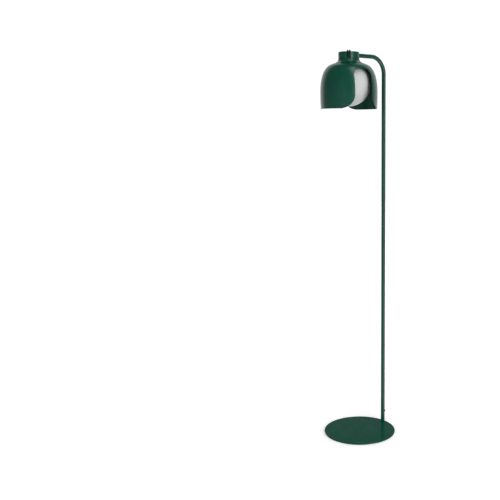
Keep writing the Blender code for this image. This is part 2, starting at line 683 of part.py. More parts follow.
def make_holder_body():
    """Lampholder body: terminal block on top, flange over the globe's mouth, threaded skirt below."""
    block = HOLDER_CAP_RADIUS - HOLDER_CAP_WALL - GAP
    flange = BUSH_RADIUS + PASS
    outline = [(0, block_top()), (0, socket_roof()), (SOCKET_RADIUS, socket_roof())]
    outline += [(SOCKET_RADIUS, SKIRT_BOTTOM), (SKIRT_RADIUS, SKIRT_BOTTOM)]
    outline += [(SKIRT_RADIUS, FLANGE_BOTTOM), (flange, FLANGE_BOTTOM), (flange, FLANGE_TOP)]
    outline += [(block, FLANGE_TOP), (block, block_top())]
    shape = turned(outline[1:] + [outline[0]], FACETS_TUBE, True)
    keep("lampholder_body", shape, WHITE_PLASTIC, (SHADE_X, 0, 0))


def make_contacts():
    """Screw shell and centre contact in the socket, and the two terminal screws on the block."""
    shell_outer = SOCKET_RADIUS - GAP
    shell_inner = BULB_CAP_DIAMETER / 2 + PASS
    shell_top = socket_roof() - SHELL_DROP
    shell_low = shell_top - BULB_CAP_LENGTH
    ring("screw_shell", shell_inner, shell_outer, shell_low, shell_top, BRASS, FACETS_TUBE)
    half = CONTACT_THICKNESS / 2
    strip = rounded_outline(SOCKET_RADIUS, -half, half, half / 3)
    strip_z = socket_roof() - GAP - CONTACT_DROP
    keep("centre_contact", prism(strip, CONTACT_WIDTH), BRASS, (SHADE_X, 0, strip_z))

    low = block_top() + GAP
    for name, side in (("live_screw", -1), ("neutral_screw", 1)):
        head = rod_outline(TERMINAL_SCREW_RADIUS, low, low + TERMINAL_SCREW_HEIGHT)
        screw = turned(head, FACETS_SMALL, True)
        keep(name, screw, BRASS, (SHADE_X, side * terminal_distance(), 0))


def terminal_distance():
    """How far each terminal screw is from the lamp's axis."""
    return HOLDER_CAP_RADIUS * 0.6


def make_bulb():
    """Bulb in the socket: glass, brass screw cap, insulator and centre tip."""
    tip_top = socket_roof() - CONTACT_DROP - CONTACT_THICKNESS / 2 - GAP * 2
    tip_low = tip_top - BULB_TIP_HEIGHT
    insulator_top = tip_low - GAP
    insulator_low = insulator_top - INSULATOR_HEIGHT
    cap_top = insulator_low - GAP
    cap_low = tip_top - BULB_CAP_LENGTH
    cap_radius = BULB_CAP_DIAMETER / 2
    tip = turned(rod_outline(BULB_TIP_RADIUS, tip_low, tip_top), FACETS_SMALL, True)
    keep("bulb_contact", tip, BRASS, (SHADE_X, 0, 0))
    insulator = [(0, insulator_low), (INSULATOR_RADIUS, insulator_low)]
    insulator += [(INSULATOR_TOP_RADIUS, insulator_top), (0, insulator_top)]
    keep("bulb_insulator", turned(insulator, FACETS_SMALL, True), GLASS_INSULATOR, (SHADE_X, 0, 0))

    depth = BULB_THREAD_DEPTH
    thread = [(0, cap_low), (cap_radius - depth, cap_low)]
    pitch = (cap_top - cap_low - depth * 3) / BULB_THREAD_TURNS
    for turn in range(BULB_THREAD_TURNS):
        low = cap_low + depth + pitch * turn
        thread += [(cap_radius, low + pitch * 0.25), (cap_radius - depth, low + pitch * 0.75)]
    thread += [(INSULATOR_RADIUS + PASS, cap_top), (0, cap_top)]
    keep("bulb_cap", turned(thread, FACETS_TUBE, True), BRASS, (SHADE_X, 0, 0))

    glass_top = cap_low - GAP
    radius = BULB_DIAMETER / 2
    glass_low = tip_top - BULB_LENGTH
    centre = glass_low + radius
    collar = cap_radius - BULB_THREAD_DEPTH * 1.5
    neck = SOCKET_RADIUS - PASS * 5
    outline = [(0, glass_top), (collar, glass_top), (neck, SKIRT_BOTTOM)]
    outline += [(SOCKET_RADIUS - PASS, SKIRT_BOTTOM - SKIRT_RADIUS / 2)]
    outline += arc((0, centre), radius, 42, -90, 10)
    outline[-1] = (0, glass_low)
    keep("bulb_glass", turned(outline, FACETS_TUBE, True), OPAL_GLASS, (SHADE_X, 0, 0))


# ------------------------------------------------------------------ wiring


def make_cable():
    """Cable from the grommet up the pole, round the bend, through the nipple and down to the lampholder."""
    start_x = POLE_X + TUBE_BORE - CABLE_RADIUS / 2
    inlet_x = SHADE_X + inlet_distance()
    end_z = block_top() + CABLE_END
    turn = CABLE_RADIUS * 1.6
    route = [(start_x, GROMMET_HEIGHT), (POLE_X + turn, GROMMET_HEIGHT + GAP)]
    route += arc((POLE_X + turn, GROMMET_HEIGHT + turn), turn, 240, 180, 3)
    route += [(POLE_X, GROMMET_HEIGHT + BEND_RADIUS), (POLE_X, POLE_JOINT_HEIGHT)]
    route += [(POLE_X, ARM_HEIGHT - BEND_RADIUS * 2)]
    bend = (POLE_X - BEND_RADIUS, ARM_HEIGHT - BEND_RADIUS)
    route += arc(bend, BEND_RADIUS, 0, 90, 12)
    route += [(SHADE_X + HUB_RADIUS, ARM_HEIGHT)]
    route += arc((inlet_x + turn, ARM_HEIGHT - turn), turn, 90, 180, 4)
    route += [(inlet_x, end_z)]
    wire("inner_cable", [(x, 0, z) for x, z in route], CABLE_RADIUS, BLACK_RUBBER)

    for name, side in (("live_core", -1), ("neutral_core", 1)):
        screw_top = block_top() + GAP + TERMINAL_SCREW_HEIGHT
        first = Vector((inlet_x, side * CORE_DIAMETER * 0.75, end_z - GAP - CORE_DIAMETER / 2))
        end_height = screw_top + CORE_DIAMETER / 2 + GAP * 2
        end = Vector((SHADE_X, side * terminal_distance(), end_height))
        middle = (first + end) / 2 + Vector((CORE_BOW.x, side * CORE_BOW.y, 0))
        dip = first - Vector((0, 0, CORE_DIAMETER / 2))
        wire(name, smooth_line([first, dip, middle, end], 4), CORE_DIAMETER / 2, BRASS)


make_base()
make_pole_bolt()
make_lower_pole()
make_grommet()
make_joiner()
make_arm()
make_arm_fixing()
make_cap()
make_hub()
make_stem()
make_knob()
make_swivel()
make_shade()
make_globe()
make_holder_cap()
make_holder_body()
make_contacts()
make_bulb()
make_cable()
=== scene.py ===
"""Looks of a dark green floor lamp: round base, thin pole, bent arm, cut shade and opal globe."""

import math

import bpy
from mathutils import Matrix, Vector


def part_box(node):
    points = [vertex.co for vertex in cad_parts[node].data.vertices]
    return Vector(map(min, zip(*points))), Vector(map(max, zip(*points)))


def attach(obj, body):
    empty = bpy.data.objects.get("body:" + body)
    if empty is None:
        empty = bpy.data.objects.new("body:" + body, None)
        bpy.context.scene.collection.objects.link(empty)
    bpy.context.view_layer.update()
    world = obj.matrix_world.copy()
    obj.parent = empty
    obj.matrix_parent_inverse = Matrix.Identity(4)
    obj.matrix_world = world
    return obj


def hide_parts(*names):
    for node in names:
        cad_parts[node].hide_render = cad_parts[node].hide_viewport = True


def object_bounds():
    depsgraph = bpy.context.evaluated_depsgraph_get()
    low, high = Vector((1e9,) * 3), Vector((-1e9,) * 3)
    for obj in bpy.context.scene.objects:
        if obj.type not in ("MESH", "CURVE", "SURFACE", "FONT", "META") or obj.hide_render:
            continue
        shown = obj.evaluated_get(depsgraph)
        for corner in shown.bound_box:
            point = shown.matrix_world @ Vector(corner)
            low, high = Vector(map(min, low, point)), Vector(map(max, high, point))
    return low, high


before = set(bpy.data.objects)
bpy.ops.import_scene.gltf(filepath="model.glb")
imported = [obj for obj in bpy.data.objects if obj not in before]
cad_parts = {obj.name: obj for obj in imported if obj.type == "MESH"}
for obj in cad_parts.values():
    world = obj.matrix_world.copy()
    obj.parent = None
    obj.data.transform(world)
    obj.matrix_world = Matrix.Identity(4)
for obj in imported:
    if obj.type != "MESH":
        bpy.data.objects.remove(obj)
cad_low, cad_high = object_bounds()


# ---------------------------------------------------------------- Camera
# The lamp is seen from its open side, from chest height and slightly above, with the pole at the
# right. The lens is shifted sideways so that the pole stays upright in the view.

scene = bpy.context.scene
camera_data = bpy.data.cameras.new("camera")
camera_data.sensor_width = 36.0
camera_data.lens = 55.0
camera_data.shift_x = -0.2008
camera_data.shift_y = -0.0185
camera_data.clip_end = 60.0
camera = bpy.data.objects.new("camera", camera_data)
camera.location = (-1.9695, -2.1854, 1.2093)
camera.rotation_euler = (math.radians(90 - 8.37), math.radians(0.2), math.radians(-41.38))
scene.collection.objects.link(camera)
scene.camera = camera


# ------------------------------------------------------ Studio: floor and light
# A white floor under two large soft lights, in a dim room with a bright wall behind the lamp and a
# bright strip from the open side up over the ceiling.

BACKWARDS = (0.661, 0.750, 0.0)
RIGHTWARDS = (0.750, -0.661, 0.0)
STRIP_WAY = (-0.122, -0.9925, 0.0)
ACROSS_STRIP = (0.9925, -0.122, 0.0)


class Flow:
    """A shader value that can be added, subtracted and multiplied like a number."""

    def __init__(self, tree, socket):
        self.tree = tree
        self.socket = socket

    def join(self, operation, first, second):
        maths = self.tree.nodes.new("ShaderNodeMath")
        maths.operation = operation
        for slot, value in zip(maths.inputs, (first, second)):
            if isinstance(value, Flow):
                self.tree.links.new(value.socket, slot)
            else:
                slot.default_value = value
        return Flow(self.tree, maths.outputs[0])

    def __add__(self, other):
        return self.join("ADD", self, other)

    __radd__ = __add__

    def __mul__(self, other):
        return self.join("MULTIPLY", self, other)

    __rmul__ = __mul__

    def __sub__(self, other):
        return self.join("SUBTRACT", self, other)

    def __rsub__(self, other):
        return self.join("SUBTRACT", other, self)

class Recipe:
    """The nodes of one material or world."""

    def __init__(self, owner):
        owner.use_nodes = True
        self.owner = owner
        self.tree = owner.node_tree

    def node(self, kind, settings=None, **values):
        """Adds a node, sets it up, then fills its sockets with numbers, colours or other sockets."""
        made = self.tree.nodes.new(kind)
        for name, value in (settings or {}).items():
            if name == "stops":
                ramp = made.color_ramp.elements
                while len(ramp) < len(value):
                    ramp.new(0.5)
                for stop, (place, colour) in zip(ramp, value):
                    stop.position = place
                    stop.color = (*colour, 1)
            else:
                setattr(made, name, value)
        for name, value in values.items():
            self.feed(made.inputs[name.replace("_", " ")], value)
        return made

    def feed(self, socket, value):
        """Puts a number, a colour, a socket or a Flow on a socket."""
        if isinstance(value, Flow):
            value = value.socket
        if isinstance(value, bpy.types.NodeSocket):
            self.tree.links.new(value, socket)
        else:
            socket.default_value = value

    def flow(self, socket):
        return Flow(self.tree, socket)

    def along(self, vector, axis):
        """How far a vector points along an axis."""
        made = self.node("ShaderNodeVectorMath", {"operation": "DOT_PRODUCT"})
        self.feed(made.inputs[0], vector)
        made.inputs[1].default_value = axis
        return self.flow(made.outputs["Value"])

    def fade(self, value, low, high):
        """Rises smoothly from 0 at the low value to 1 at the high value."""
        made = self.node("ShaderNodeMapRange", {"interpolation_type": "SMOOTHSTEP"}, Value=value)
        made.inputs["From Min"].default_value = low
        made.inputs["From Max"].default_value = high
        return self.flow(made.outputs["Result"])


def studio_world():
    """White for the camera. For all else the room, its wall with a dark gap high up, and its strip."""
    world = bpy.data.worlds.new("studio")
    scene.world = world
    recipe = Recipe(world)
    tree = recipe.tree
    tree.nodes.clear()
    direction = recipe.node("ShaderNodeTexCoord").outputs["Generated"]
    behind = recipe.along(direction, BACKWARDS)
    right = recipe.along(direction, RIGHTWARDS)
    up = recipe.along(direction, (0.0, 0.0, 1.0))
    beside = recipe.along(direction, ACROSS_STRIP)
    ahead = recipe.along(direction, STRIP_WAY)
    wall = recipe.fade(behind, 0.36, 0.66) * 0.83
    gap = recipe.fade(up, 0.24, 0.33) * recipe.fade(right * right, 0.020, 0.006)
    wall = wall * recipe.fade(up, -0.7, -0.2) * (1 - gap * 0.92)
    strip = recipe.fade(beside * beside, 0.045, 0.018) * recipe.fade(ahead, 0.15, 0.35)
    room = 0.16 + recipe.fade(up, 0.2, -0.6) * 0.50
    level = room * (1 - gap * 0.6) + wall + strip * 3.2
    glow = recipe.node("ShaderNodeBackground", Color=(1, 1, 1, 1), Strength=level)
    plain = recipe.node("ShaderNodeBackground", Color=(1, 1, 1, 1), Strength=1.05)
    seen = recipe.node("ShaderNodeLightPath").outputs["Is Camera Ray"]
    choice = recipe.node("ShaderNodeMixShader", Fac=seen)
    tree.links.new(glow.outputs[0], choice.inputs[1])
    tree.links.new(plain.outputs[0], choice.inputs[2])
    output = recipe.node("ShaderNodeOutputWorld")
    tree.links.new(choice.outputs[0], output.inputs["Surface"])


def soft_light(name, place, aim, size, power):
    """A square soft box at a place, turned to the point that it lights."""
    data = bpy.data.lights.new(name, "AREA")
    data.shape = "SQUARE"
    data.size = size
    data.energy = power
    made = bpy.data.objects.new(name, data)
    made.location = place
    made.rotation_euler = (Vector(place) - Vector(aim)).to_track_quat("Z", "Y").to_euler()
    made.visible_glossy = False
    scene.collection.objects.link(made)


def studio_floor():
    """A wide white floor, just under the lamp's pad. It glows more where less light falls on it, so
    that it is white all over."""
    bpy.ops.mesh.primitive_plane_add(size=14, location=(0, 0, cad_low.z - 0.0002))
    floor = bpy.context.object
    floor.name = "studio_floor"
    white = Recipe(bpy.data.materials.new("studio_white"))
    place = white.node("ShaderNodeTexCoord").outputs["Object"]
    x = white.along(place, (1, 0, 0))
    y = white.along(place, (0, 1, 0))
    away = x * x + y * y
    behind = white.along(place, BACKWARDS)
    shader = white.tree.nodes["Principled BSDF"]
    shader.inputs["Base Color"].default_value = (0.93, 0.93, 0.93, 1)
    shader.inputs["Roughness"].default_value = 0.9
    shader.inputs["Specular IOR Level"].default_value = 0.1
    glow = 0.42 + white.fade(behind, -0.15, 0.5) * 0.11 + white.fade(away, 0.12, 2.2) * 0.47
    white.feed(shader.inputs["Emission Color"], glow)
    shader.inputs["Emission Strength"].default_value = 0.72
    floor.data.materials.append(white.owner)
    floor.visible_diffuse = False
    floor.visible_glossy = False


bpy.ops.object.select_all(action="DESELECT")
scene.view_settings.view_transform = "Standard"
studio_world()
studio_floor()
soft_light("light_left", (-3.4, -1.6, 1.5), (0, 0, 0.9), 2.0, 54)
soft_light("light_right", (1.0, -3.6, 1.5), (0, 0, 0.9), 2.0, 46)


# ------------------------------------------------------------- Base plate
# A sheet steel disc about 5 mm thick, laser cut, with its edge rounded over by the paint. It is
# powder coated like the rest, and its flat top is smoother, so it mirrors the pole softly. Its green
# is set about a third lighter than the pole's, as painted light for the light on its flat top. The
# pole's bolt comes up through a stepped hole near the edge.

WELD = 0.00001  # corners nearer to each other than this are one corner
FIT = 0.0003  # clearance between pieces that touch


def powder_coat(name, colour, roughness, grain, gloss):
    """Baked powder paint: a fine orange peel, with faint clouds in its colour and sheen."""
    recipe = Recipe(bpy.data.materials.new(name))
    place = recipe.node("ShaderNodeTexCoord").outputs["Object"]
    peel = recipe.node("ShaderNodeTexNoise", Vector=place, Scale=900.0, Detail=2.0, Roughness=0.5)
    clouds = recipe.node("ShaderNodeTexNoise", Vector=place, Scale=28.0, Detail=4.0, Roughness=0.6)
    cloud = recipe.flow(clouds.outputs["Fac"])
    fine = recipe.flow(peel.outputs["Fac"])
    darker = tuple(channel * 0.90 for channel in colour)
    lighter = tuple(channel * 1.10 for channel in colour)
    tint = recipe.node("ShaderNodeValToRGB", {"stops": [(0.30, darker), (0.70, lighter)]}, Fac=cloud)
    bump = recipe.node("ShaderNodeBump", Height=fine, Strength=grain, Distance=0.0004)
    shader = recipe.tree.nodes["Principled BSDF"]
    shader.inputs["IOR"].default_value = 1.45
    shader.inputs["Specular IOR Level"].default_value = gloss
    recipe.feed(shader.inputs["Base Color"], tint.outputs["Color"])
    recipe.feed(shader.inputs["Roughness"], roughness - 0.03 + cloud * 0.06 + fine * 0.02)
    recipe.feed(shader.inputs["Normal"], bump.outputs["Normal"])
    return recipe.owner


def arc(centre, radius, start, end, steps):
    """Points on a circle, from the angle start to the angle end, in degrees."""
    points = []
    for step in range(steps + 1):
        angle = math.radians(start + (end - start) * step / steps)
        points.append((centre[0] + radius * math.cos(angle), centre[1] + radius * math.sin(angle)))
    return points


def draw(name, outline):
    """A line through the outline's (x, z) points: one corner, pulled on from point to point. It is
    closed unless it starts on the upright axis, where turning it closes it."""
    bpy.ops.object.select_all(action="DESELECT")
    start = Vector((outline[0][0], 0, outline[0][1]))
    bpy.ops.mesh.primitive_plane_add(size=0.01, location=start)
    made = bpy.context.object
    made.name = name
    made.data.name = name
    bpy.ops.object.transform_apply(location=True, rotation=True, scale=True)
    bpy.ops.object.mode_set(mode="EDIT")
    bpy.ops.mesh.select_mode(type="VERT")
    bpy.ops.mesh.select_all(action="SELECT")
    bpy.ops.mesh.merge(type="CENTER")
    ends = outline[1:] if outline[0][0] == 0 else outline[1:] + outline[:1]
    for (x, z), (next_x, next_z) in zip(outline, ends):
        step = (next_x - x, 0, next_z - z)
        bpy.ops.mesh.extrude_region_move(TRANSFORM_OT_translate={"value": step})
    bpy.ops.mesh.select_all(action="SELECT")
    bpy.ops.mesh.remove_doubles(threshold=WELD)
    return made


def settle(made, place=(0, 0, 0), turn=0.0, sharp=35):
    """Leaves edit mode, puts the place and turn into the mesh, and smooths all but its sharp corners."""
    if bpy.context.mode == "EDIT_MESH":
        bpy.ops.object.mode_set(mode="OBJECT")
    bpy.ops.object.select_all(action="DESELECT")
    made.select_set(True)
    bpy.context.view_layer.objects.active = made
    made.location = place
    made.rotation_euler = (0, 0, turn)
    bpy.ops.object.transform_apply(location=True, rotation=True, scale=True)
    bpy.ops.object.shade_smooth_by_angle(angle=math.radians(sharp))
    flatten = made.modifiers.new("flatten", "WEIGHTED_NORMAL")
    flatten.keep_sharp = True
    bpy.ops.object.modifier_apply(modifier=flatten.name)
    return made


def spin_round(name, outline, facets):
    """Turns an outline of (radius, height) points into a closed skin about the upright axis."""
    made = draw(name, outline)
    bpy.ops.mesh.spin(steps=facets, angle=math.tau, center=(0, 0, 0), axis=(0, 0, 1))
    bpy.ops.mesh.select_all(action="SELECT")
    bpy.ops.mesh.remove_doubles(threshold=WELD)
    bpy.ops.mesh.delete_loose()
    bpy.ops.mesh.select_all(action="SELECT")
    bpy.ops.mesh.normals_make_consistent(inside=False)
    return made


def lathe(name, outline, facets, place=(0, 0, 0), sharp=35):
    """A turned piece, finished at its place."""
    return settle(spin_round(name, outline, facets), place, sharp=sharp)


def slab(name, outline, depth, place=(0, 0, 0), turn=0.0):
    """A flat outline of (x, z) points filled and pushed to both sides, as a cutter."""
    made = draw(name, outline)
    bpy.ops.mesh.edge_face_add()
    bpy.ops.mesh.extrude_region_move(TRANSFORM_OT_translate={"value": (0, depth, 0)})
    bpy.ops.mesh.select_all(action="SELECT")
    bpy.ops.transform.translate(value=(0, -depth / 2, 0))
    bpy.ops.mesh.normals_make_consistent(inside=False)
    return settle(made, place, turn)


def cut(made, *cutters):
    """Cuts the cutters out of the piece and removes them."""
    for cutter in cutters:
        boolean = made.modifiers.new("cut", "BOOLEAN")
        boolean.operation = "DIFFERENCE"
        boolean.object = cutter
        bpy.context.view_layer.objects.active = made
        bpy.ops.object.modifier_apply(modifier=boolean.name)
        bpy.data.objects.remove(cutter)
    return made


def ease(made, width, angle):
    """Rounds the piece's edges that are sharper than the angle."""
    bevel = made.modifiers.new("ease", "BEVEL")
    bevel.width = width
    bevel.segments = 2
    bevel.limit_method = "ANGLE"
    bevel.angle_limit = math.radians(angle)
    bpy.context.view_layer.objects.active = made
    bpy.ops.object.modifier_apply(modifier=bevel.name)
    return made


def finish_piece(made, body, material, slot, *nodes):
    """Gives a new piece its finish and its body, and hides the CAD nodes that it stands for."""
    made.data.materials.clear()
    made.data.materials.append(material)
    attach(made, body)
    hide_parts(*nodes)


def middle(node):
    """The upright axis through the middle of a CAD node, at floor level."""
    low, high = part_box(node)
    return Vector(((low.x + high.x) / 2, (low.y + high.y) / 2, 0))


def merge_flats():
    """Joins the triangles of each flat face of the active piece into one face."""
    bpy.ops.object.mode_set(mode="EDIT")
    bpy.ops.mesh.select_all(action="SELECT")
    bpy.ops.mesh.dissolve_limited(angle_limit=math.radians(0.5))
    bpy.ops.object.mode_set(mode="OBJECT")


plate_low, plate_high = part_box("base_plate")
pole_axis = middle("lower_pole")
bolt_low, bolt_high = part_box("pole_bolt")


def base_plate():
    radius = (plate_high.x - plate_low.x) / 2
    low, high = plate_low.z, plate_high.z
    edge = 0.0008
    flat = radius - edge * 3
    outline = [(0, low), (flat, low)]
    outline += arc((radius - edge, low + edge), edge, -90, 0, 4)
    outline += arc((radius - edge, high - edge), edge, 0, 90, 6)
    outline += [(flat, high), (0, high)]
    plate = lathe("plate", outline, 240)
    merge_flats()
    head = (bolt_high.x - bolt_low.x) / 2 + FIT
    shank = 0.0040 + FIT
    shelf = bolt_low.z + 0.0022 + FIT
    beyond = 0.01
    stepped = [(0, low - beyond), (head, low - beyond), (head, shelf), (shank, shelf)]
    stepped += [(shank, high + beyond), (0, high + beyond)]
    return settle(cut(plate, lathe("plate_hole", stepped, 48, pole_axis)))


# The pole's green, about a third lighter: painted light for the light falling on the flat top.
base_paint = powder_coat("base_powder_coat_painted_light", (0.0020, 0.0700, 0.0440), 0.16, 0.02, 0.20)
finish_piece(base_plate(), "stand", base_paint, "base_paint", "base_plate")


# ---------------------------------------------------------- Pad and bolt
# A self-adhesive rubber sheet covers the underside, so that the plate doesn't slide or scratch. The
# bolt is zinc plated, with its flat head sunk flush under the sheet.


def matt_rubber(name, colour, grain_scale):
    """Dull rubber or soft plastic, with a fine pitted grain."""
    recipe = Recipe(bpy.data.materials.new(name))
    place = recipe.node("ShaderNodeTexCoord").outputs["Object"]
    pits = recipe.node("ShaderNodeTexNoise", Vector=place, Scale=grain_scale, Detail=3.0)
    pit = recipe.flow(pits.outputs["Fac"])
    tone = recipe.node(
        "ShaderNodeValToRGB",
        {"stops": [(0.3, tuple(c * 0.7 for c in colour)), (0.7, tuple(c * 1.4 for c in colour))]},
        Fac=pit,
    )
    bump = recipe.node("ShaderNodeBump", Height=pit, Strength=0.35, Distance=0.0003)
    shader = recipe.tree.nodes["Principled BSDF"]
    recipe.feed(shader.inputs["Base Color"], tone.outputs["Color"])
    recipe.feed(shader.inputs["Roughness"], 0.62 + pit * 0.25)
    recipe.feed(shader.inputs["Normal"], bump.outputs["Normal"])
    return recipe.owner


def plated_metal(name, colour, roughness):
    """Turned or pressed metal with a thin plating: fine rings of tool marks and faint stains."""
    recipe = Recipe(bpy.data.materials.new(name))
    place = recipe.node("ShaderNodeTexCoord").outputs["Object"]
    stretch = recipe.node("ShaderNodeMapping", {"vector_type": "POINT"}, Vector=place)
    stretch.inputs["Scale"].default_value = (60, 60, 2600)
    marks = recipe.node("ShaderNodeTexNoise", Vector=stretch.outputs[0], Scale=1.0, Detail=2.0)
    stains = recipe.node("ShaderNodeTexNoise", Vector=place, Scale=160.0, Detail=4.0)
    mark = recipe.flow(marks.outputs["Fac"])
    stain = recipe.flow(stains.outputs["Fac"])
    duller = tuple(channel * 0.80 for channel in colour)
    tint = recipe.node("ShaderNodeValToRGB", {"stops": [(0.25, duller), (0.65, colour)]}, Fac=stain)
    bump = recipe.node("ShaderNodeBump", Height=mark, Strength=0.25, Distance=0.0001)
    shader = recipe.tree.nodes["Principled BSDF"]
    shader.inputs["Metallic"].default_value = 1.0
    recipe.feed(shader.inputs["Base Color"], tint.outputs["Color"])
    recipe.feed(shader.inputs["Roughness"], roughness + mark * 0.10 + stain * 0.08)
    recipe.feed(shader.inputs["Normal"], bump.outputs["Normal"])
    return recipe.owner


def dress(material, slot, *nodes):
    """Gives CAD nodes that keep their shape a better finish."""
    for name in nodes:
        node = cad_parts[name]
        node.data.materials.clear()
        node.data.materials.append(material)


def base_pad():
    low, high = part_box("base_pad")
    radius = (high.x - low.x) / 2
    edge = 0.0003
    outline = [(0, low.z), (radius - edge, low.z), (radius, low.z + edge)]
    outline += [(radius, high.z - edge), (radius - edge, high.z), (0, high.z)]
    return lathe("pad", outline, 180)


rubber = matt_rubber("black_rubber", (0.018, 0.018, 0.019), 1400.0)
zinc = plated_metal("zinc_plating", (0.62, 0.63, 0.66), 0.26)
finish_piece(base_pad(), "stand", rubber, "rubber", "base_pad")
dress(zinc, "zinc", "pole_bolt", "foot_insert")


# ------------------------------------------------------------ Lower pole
# Steel tube, 16 mm across, powder coated. The cable leaves through a grommet at the back, near
# the foot. The tube's ends are faced square with a small chamfer.

pole_low, pole_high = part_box("lower_pole")
tube_radius = (pole_high.y - pole_low.y) / 2
tube_wall = 0.0012
grommet_low, grommet_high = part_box("cable_grommet")
grommet_height = (grommet_low.z + grommet_high.z) / 2
grommet_body = 0.0038
paint = powder_coat("green_powder_coat", (0.0015, 0.0550, 0.0340), 0.24, 0.10, 0.5)


def tube_outline(low, high):
    """A tube's wall, with chamfers at both ends."""
    bore = tube_radius - tube_wall
    edge = 0.0003
    outline = [(bore, low), (tube_radius - edge, low), (tube_radius, low + edge)]
    outline += [(tube_radius, high - edge), (tube_radius - edge, high), (bore, high)]
    return outline


def drill(vertices, radius, depth, x, z):
    """A cutter for a round hole along the arm's direction."""
    bpy.ops.mesh.primitive_cylinder_add(
        vertices=vertices,
        radius=radius,
        depth=depth,
        location=(x, 0, z),
        rotation=(0, math.radians(90), 0),
    )
    return bpy.context.object


def lower_pole():
    pole = lathe("pole_lower", tube_outline(pole_low.z, pole_high.z), 96, pole_axis)
    outlet = drill(48, grommet_body + FIT, 0.010, pole_axis.x + tube_radius, grommet_height)
    return settle(cut(pole, outlet))


def grommet():
    """A moulded lip outside the wall, with a soft round mouth."""
    lip = (grommet_high.z - grommet_low.z) / 2
    bore = 0.00275
    soft = 0.0006
    inner = grommet_low.x - pole_axis.x
    outer = grommet_high.x - pole_axis.x
    face = tube_radius + FIT
    round_lip = (outer - face) / 2
    outline = [(bore, inner), (grommet_body, inner), (grommet_body, face)]
    outline += arc((lip - round_lip, face + round_lip), round_lip, -90, 60, 5)
    outline += arc((bore + soft, outer - soft), soft, 90, 180, 4)
    made = spin_round("grommet", outline, 64)
    bpy.ops.object.mode_set(mode="OBJECT")
    made.rotation_euler = (0, math.radians(90), 0)
    bpy.ops.object.transform_apply(location=True, rotation=True, scale=True)
    return settle(made, (pole_axis.x, 0, grommet_height))


finish_piece(lower_pole(), "stand", paint, "green_paint", "lower_pole")
finish_piece(grommet(), "stand", rubber, "rubber", "cable_grommet")


# ------------------------------------------------- Joiner and upper pole
# The pole comes in two lengths for its carton. A turned steel sleeve, painted like them, screws them
# together, and its thin flange shows as a hairline. The upper length is bent over a former into the arm.

arm_low, arm_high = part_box("upper_pole_arm")
arm_height = arm_high.z - tube_radius
bend_radius = 0.064


def joiner():
    low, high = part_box("pole_joiner")
    flange = (high.x - low.x) / 2
    seam = (pole_high.z + arm_low.z) / 2
    half = (arm_low.z - pole_high.z) / 2 - FIT
    sleeve = tube_radius - tube_wall - FIT
    bore = 0.0036
    outline = [(bore, low.z), (sleeve, low.z), (sleeve, seam - half), (flange, seam - half)]
    outline += [(flange, seam + half), (sleeve, seam + half), (sleeve, high.z), (bore, high.z)]
    return lathe("joiner", outline, 72, pole_axis)


def upper_pole():
    """A loop of the tube's outside, run up, spun round the bend and run along the arm, then walled."""
    bpy.ops.object.select_all(action="DESELECT")
    start = (pole_axis.x, 0, arm_low.z)
    bpy.ops.mesh.primitive_circle_add(vertices=96, radius=tube_radius, location=start)
    made = bpy.context.object
    made.name = "pole_upper"
    made.data.name = "pole_upper"
    bpy.ops.object.transform_apply(location=True, rotation=True, scale=True)
    rise = arm_height - bend_radius - arm_low.z
    bend_x = pole_axis.x - bend_radius
    bpy.ops.object.mode_set(mode="EDIT")
    bpy.ops.mesh.select_all(action="SELECT")
    bpy.ops.mesh.extrude_region_move(TRANSFORM_OT_translate={"value": (0, 0, rise)})
    bend_centre = (bend_x, 0, arm_height - bend_radius)
    bpy.ops.mesh.spin(steps=40, angle=math.radians(90), center=bend_centre, axis=(0, 1, 0))
    reach = arm_low.x - bend_x
    bpy.ops.mesh.extrude_region_move(TRANSFORM_OT_translate={"value": (reach, 0, 0)})
    bpy.ops.mesh.select_all(action="SELECT")
    bpy.ops.mesh.remove_doubles(threshold=WELD)
    bpy.ops.mesh.normals_make_consistent(inside=False)
    bpy.ops.object.mode_set(mode="OBJECT")
    wall = made.modifiers.new("wall", "SOLIDIFY")
    wall.thickness = tube_wall
    wall.offset = -1
    bpy.ops.object.modifier_apply(modifier=wall.name)
    ease(made, 0.0002, 60)
    return settle(made)


finish_piece(joiner(), "stand", paint, "green_paint", "pole_joiner")
finish_piece(upper_pole(), "stand", paint, "green_paint", "upper_pole_arm")
dress(zinc, "zinc", "arm_insert", "arm_nipple", "arm_nut")


# ---------------------------------------------------------- Cap and hub
# The hub is a turned steel cup that the arm is screwed to. A drawn cap covers it, with a hole for
# the arm and a slot at each side that lets warm air out. Both are powder coated.

head_axis = middle("globe")
slot_turn = math.radians(-42)
cap_low, cap_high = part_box("head_cap")
cap_radius = (cap_high.x - cap_low.x) / 2
cap_wall = 0.0012
stem_hole = 0.0043
turning_bore = 0.0232


def round_slot(width, low, high, radius):
    """A rectangle with round corners, as (x, z) points."""
    side = width / 2 - radius
    outline = arc((side, low + radius), radius, -90, 0, 8)
    outline += arc((side, high - radius), radius, 0, 90, 8)
    outline += arc((-side, high - radius), radius, 90, 180, 8)
    outline += arc((-side, low + radius), radius, 180, 270, 8)
    return outline


